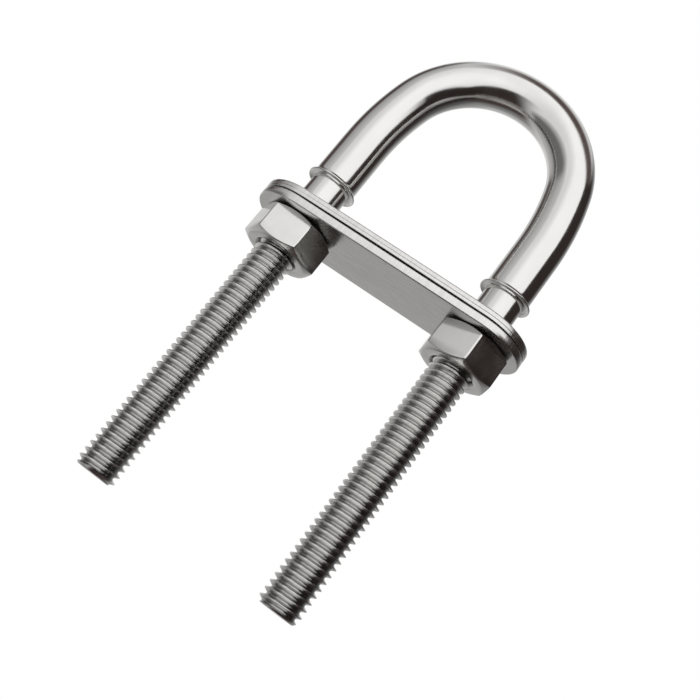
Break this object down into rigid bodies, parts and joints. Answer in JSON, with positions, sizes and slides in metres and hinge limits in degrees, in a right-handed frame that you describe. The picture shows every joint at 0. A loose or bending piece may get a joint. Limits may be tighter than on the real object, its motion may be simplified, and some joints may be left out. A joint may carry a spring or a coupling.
{
  "type": "U-bolt pad eye",
  "caption": "Stainless through-hull U-bolt pad eye: bent eye rod with collars and threaded shanks, top plate, backing plate and hex nuts.",
  "frame": {"origin": "midway between the two shanks, on the top plate's hull-side face", "axes": "+Z out of the hull along the shanks towards the eye, +X from the left shank to the right shank, Y through the eye"},
  "size_m": [0.0424, 0.0136, 0.0821],
  "materials": {
    "polished_stainless": "mirror polished",
    "satin_stainless": "satin, grained along the edge",
    "nut_stainless": "bright machined"
  },
  "bodies": {
    "u_bolt": {"u_bolt": "polished_stainless"},
    "top_plate": {"top_plate": "satin_stainless"},
    "backing_plate": {"backing_plate": "satin_stainless"},
    "nut_left": {"hex_nut_left": "nut_stainless"},
    "nut_right": {"hex_nut_right": "nut_stainless"}
  },
  "joints": [
    {"name": "top_plate_slide", "type": "slide", "parent": "u_bolt", "child": "top_plate", "axis": [0, 0, 1], "range_m": [0, 0.0049]},
    {"name": "backing_plate_slide", "type": "slide", "parent": "u_bolt", "child": "backing_plate", "axis": [0, 0, -1], "range_m": [0, 0.036]},
    {"name": "nut_left_spin", "type": "hinge", "parent": "backing_plate", "child": "nut_left", "pos_m": [-0.0144, 0, -0.004], "axis": [0, 0, -1], "range_deg": [0, 12960]},
    {"name": "nut_right_spin", "type": "hinge", "parent": "backing_plate", "child": "nut_right", "pos_m": [0.0144, 0, -0.004], "axis": [0, 0, -1], "range_deg": [0, 12960]}
  ],
  "couplings": [
    {"joint": "nut_left_spin", "follows": "backing_plate_slide", "rad_per_m": 6283.2},
    {"joint": "nut_right_spin", "follows": "backing_plate_slide", "rad_per_m": 6283.2}
  ]
}
